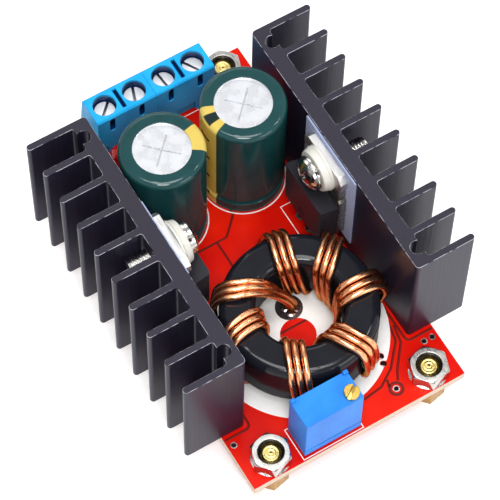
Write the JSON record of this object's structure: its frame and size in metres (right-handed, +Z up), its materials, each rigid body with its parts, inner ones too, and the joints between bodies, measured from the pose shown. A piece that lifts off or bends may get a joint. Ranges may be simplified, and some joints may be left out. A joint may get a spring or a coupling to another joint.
{
  "type": "dc-dc converter module",
  "caption": "Open-board DC-DC step-up converter with finned heatsinks, toroidal coil, capacitors, multi-turn trimmer and screw terminals on brass standoffs.",
  "frame": {"origin": "middle of the four standoff feet, on the plane they stand on", "axes": "+Z up, +Y along the board from the trimmer to the screw terminals, X across the board"},
  "size_m": [0.0476, 0.065, 0.0274],
  "materials": {
    "board_red": "glossy solder mask",
    "brass": "turned",
    "nickel": "nickel plated",
    "black_anodised": "black anodised extrusion",
    "device_plastic": "moulded epoxy",
    "tinned_metal": "tinned",
    "pad_lavender": "silicone sheet",
    "bushing_cream": "moulded",
    "can_aluminium": "satin",
    "sleeve_teal": "shrunk sleeve with a gold band",
    "bung_rubber": "matt",
    "core_black": "satin epoxy coat on pressed powder",
    "copper": "enamelled copper",
    "trimmer_blue": "moulded",
    "terminal_blue": "moulded",
    "lamp_red": "clear tinted resin",
    "chip_black": "tinned ends",
    "chip_tan": "tinned ends",
    "solder": "bright"
  },
  "bodies": {
    "module": {"pcb": "board_red", "standoffs": "brass", "standoff_nuts": "nickel", "diode_heatsink": "black_anodised", "mosfet_heatsink": "black_anodised", "diode_body": "device_plastic", "mosfet_body": "device_plastic", "diode_leadframe": "tinned_metal", "mosfet_leadframe": "tinned_metal", "diode_pad": "pad_lavender", "mosfet_pad": "pad_lavender", "diode_bushing": "bushing_cream", "mosfet_bushing": "bushing_cream", "device_spring_washers": "nickel", "device_screws": "nickel", "input_cap_can": "can_aluminium", "output_cap_can": "can_aluminium", "input_cap_sleeve": "sleeve_teal", "output_cap_sleeve": "sleeve_teal", "input_cap_bung": "bung_rubber", "output_cap_bung": "bung_rubber", "input_cap_leads": "tinned_metal", "output_cap_leads": "tinned_metal", "coil_core": "core_black", "coil_winding": "copper", "trimmer_case": "trimmer_blue", "trimmer_pins": "tinned_metal", "input_terminal_block": "terminal_blue", "output_terminal_block": "terminal_blue", "terminal_contacts": "brass", "lamp_lens": "lamp_red", "lamp_leads": "tinned_metal", "controller_body": "device_plastic", "controller_pins": "tinned_metal", "chip_resistors": "chip_black", "chip_capacitors": "chip_tan", "current_shunt": "chip_black", "solder_joints": "solder"},
    "trimmer_screw": {"trimmer_screw": "brass"},
    "terminal_screw_1": {"terminal_screw_1": "nickel"},
    "terminal_screw_2": {"terminal_screw_2": "nickel"},
    "terminal_screw_3": {"terminal_screw_3": "nickel"},
    "terminal_screw_4": {"terminal_screw_4": "nickel"},
    "clamp_cage_1": {"clamp_cage_1": "nickel"},
    "clamp_cage_2": {"clamp_cage_2": "nickel"},
    "clamp_cage_3": {"clamp_cage_3": "nickel"},
    "clamp_cage_4": {"clamp_cage_4": "nickel"}
  },
  "joints": [
    {"name": "trimmer_turn", "type": "hinge", "parent": "module", "child": "trimmer_screw", "pos_m": [-0.00097, -0.03066, 0.0161], "axis": [0, 0, 1], "continuous": true},
    {"name": "clamp_turn_1", "type": "hinge", "parent": "module", "child": "terminal_screw_1", "pos_m": [-0.00762, 0.02868, 0.0128], "axis": [0, 0, -1], "range_deg": [0, 1225]},
    {"name": "cage_rise_1", "type": "slide", "parent": "module", "child": "clamp_cage_1", "axis": [0, 0, 1], "range_m": [0, 0.0017]},
    {"name": "clamp_turn_2", "type": "hinge", "parent": "module", "child": "terminal_screw_2", "pos_m": [-0.00254, 0.02868, 0.0128], "axis": [0, 0, -1], "range_deg": [0, 1225]},
    {"name": "cage_rise_2", "type": "slide", "parent": "module", "child": "clamp_cage_2", "axis": [0, 0, 1], "range_m": [0, 0.0017]},
    {"name": "clamp_turn_3", "type": "hinge", "parent": "module", "child": "terminal_screw_3", "pos_m": [0.00254, 0.02868, 0.0128], "axis": [0, 0, -1], "range_deg": [0, 1225]},
    {"name": "cage_rise_3", "type": "slide", "parent": "module", "child": "clamp_cage_3", "axis": [0, 0, 1], "range_m": [0, 0.0017]},
    {"name": "clamp_turn_4", "type": "hinge", "parent": "module", "child": "terminal_screw_4", "pos_m": [0.00762, 0.02868, 0.0128], "axis": [0, 0, -1], "range_deg": [0, 1225]},
    {"name": "cage_rise_4", "type": "slide", "parent": "module", "child": "clamp_cage_4", "axis": [0, 0, 1], "range_m": [0, 0.0017]}
  ],
  "couplings": [
    {"joint": "clamp_turn_1", "follows": "cage_rise_1", "rad_per_m": 12566},
    {"joint": "clamp_turn_2", "follows": "cage_rise_2", "rad_per_m": 12566},
    {"joint": "clamp_turn_3", "follows": "cage_rise_3", "rad_per_m": 12566},
    {"joint": "clamp_turn_4", "follows": "cage_rise_4", "rad_per_m": 12566}
  ]
}
